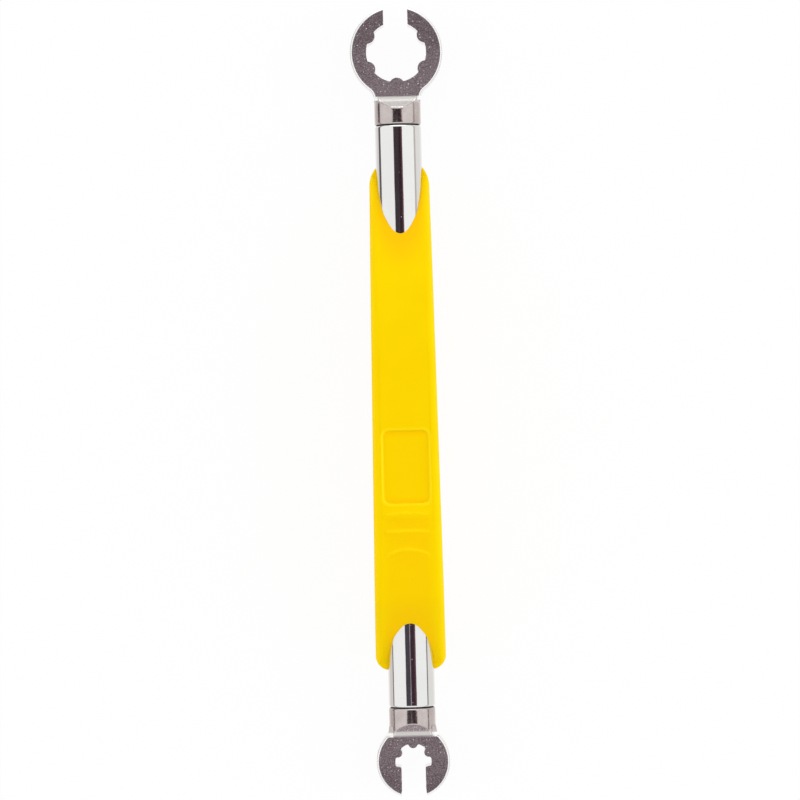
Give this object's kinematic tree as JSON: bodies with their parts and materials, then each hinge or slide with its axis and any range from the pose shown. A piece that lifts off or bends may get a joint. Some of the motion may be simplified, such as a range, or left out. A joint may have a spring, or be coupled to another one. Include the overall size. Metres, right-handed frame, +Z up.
{
  "type": "spoke wrench",
  "caption": "Slim spoke wrench with an open splined head at either end of a chromed tube and a bevel-ended moulded grip, for turning splined spoke nipples.",
  "frame": {"origin": "middle of the tool's outline on the surface that it lies on, under the flat back of the grip", "axes": "+Y along the tool towards its large head, +X to the right seen from above, +Z up through the front of the grip"},
  "size_m": [0.014, 0.1192, 0.0128],
  "materials": {
    "grip_plastic": "satin yellow moulding",
    "tube_chrome": "bright chrome plate",
    "head_steel": "satin nickel plate over a grained casting"
  },
  "bodies": {
    "root": {"core_tube": "tube_chrome", "grip": "grip_plastic", "large_head": "head_steel", "small_head": "head_steel"}
  },
  "joints": []
}
